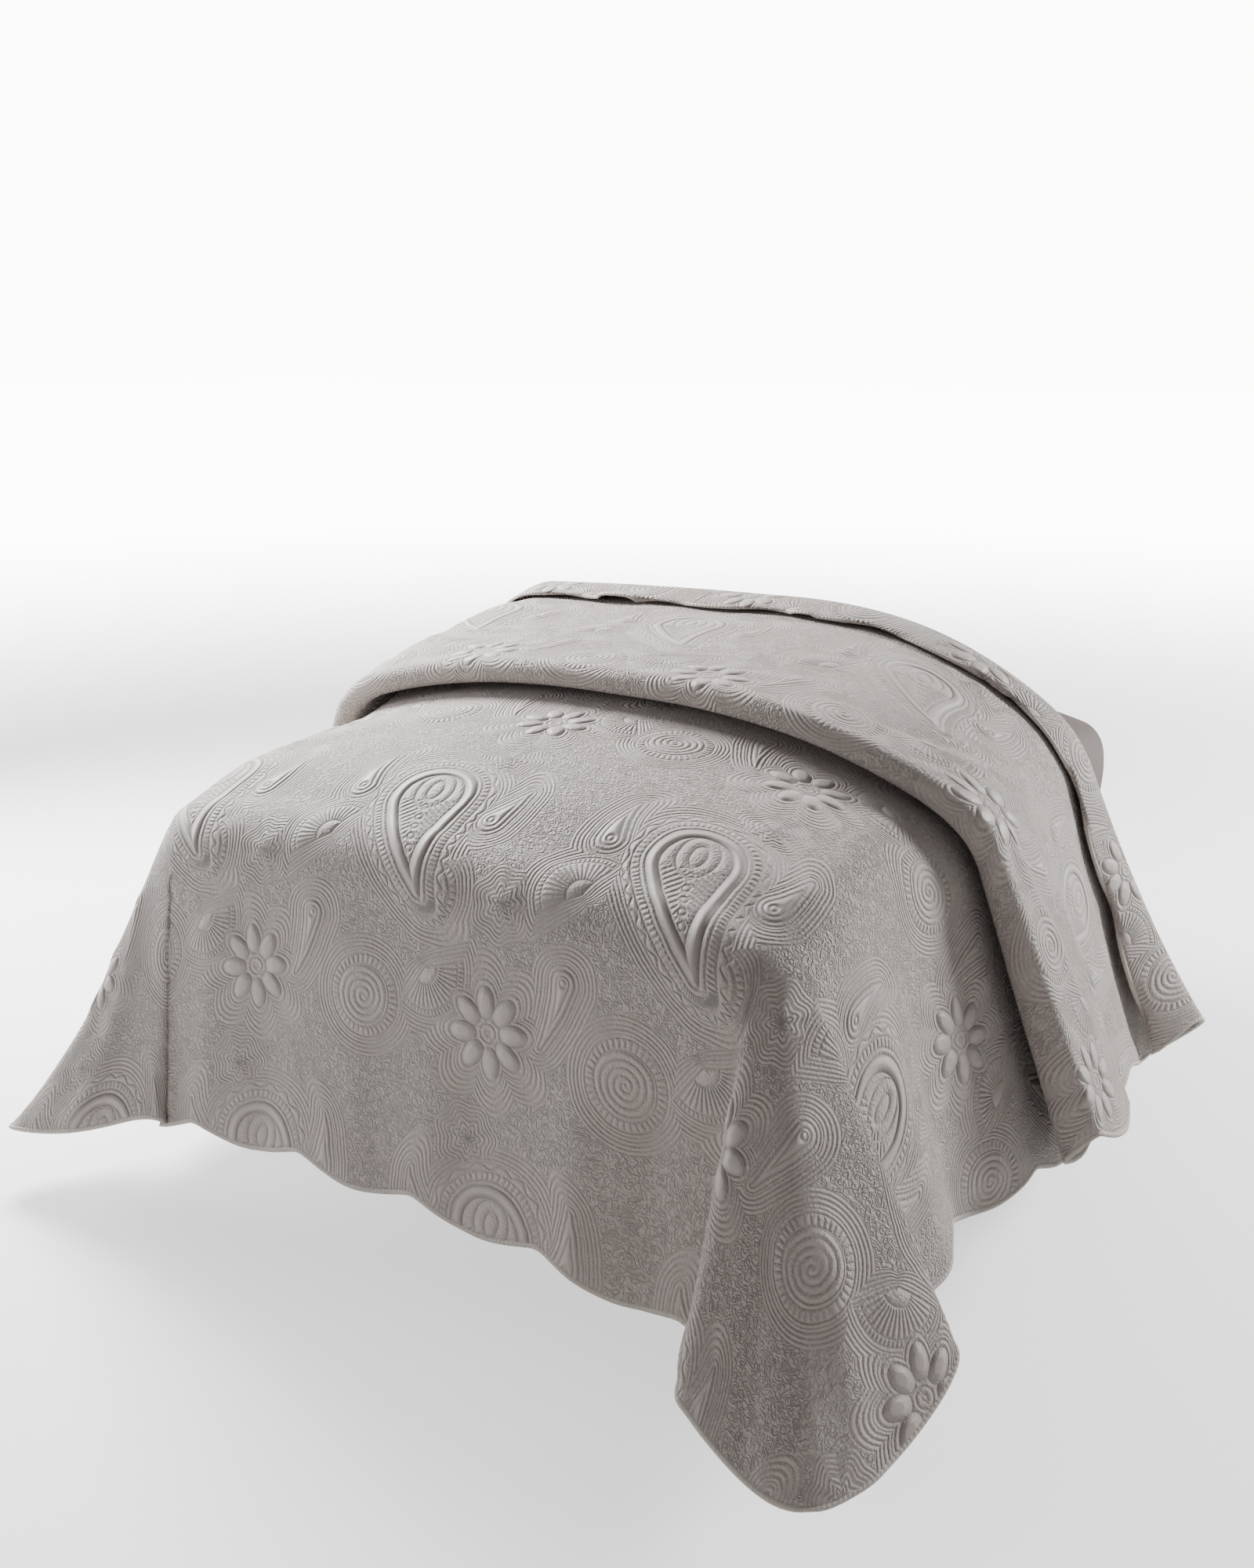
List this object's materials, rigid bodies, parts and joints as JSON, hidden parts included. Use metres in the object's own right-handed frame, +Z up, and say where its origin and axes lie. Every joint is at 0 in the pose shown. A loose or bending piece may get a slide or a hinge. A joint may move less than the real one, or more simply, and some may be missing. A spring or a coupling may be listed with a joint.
{
  "type": "quilted bedspread on a bed",
  "caption": "Quilted bedspread with a scalloped bound edge, draped over a plain double bed, its head end folded back with a narrow turned cuff.",
  "frame": {"origin": "on the floor under the middle of the bed, at the middle of the plinth's bottom face", "axes": "+Z up, +Y from the foot of the bed to its head, +X to the right seen from the foot"},
  "size_m": [2.0906, 2.1965, 1.0948],
  "materials": {
    "quilted_cotton": "soft satin-matte quilted cotton, warm taupe grey",
    "bias_binding": "plain bias-cut cotton, slightly beiger than the cloth",
    "fitted_sheet": "smooth woven cotton, taupe brown",
    "base_fabric": "dark close-woven upholstery"
  },
  "bodies": {
    "root": {"quilt": "quilted_cotton", "binding": "bias_binding", "mattress": "fitted_sheet", "bed_platform": "base_fabric", "bed_plinth": "base_fabric"}
  },
  "joints": []
}
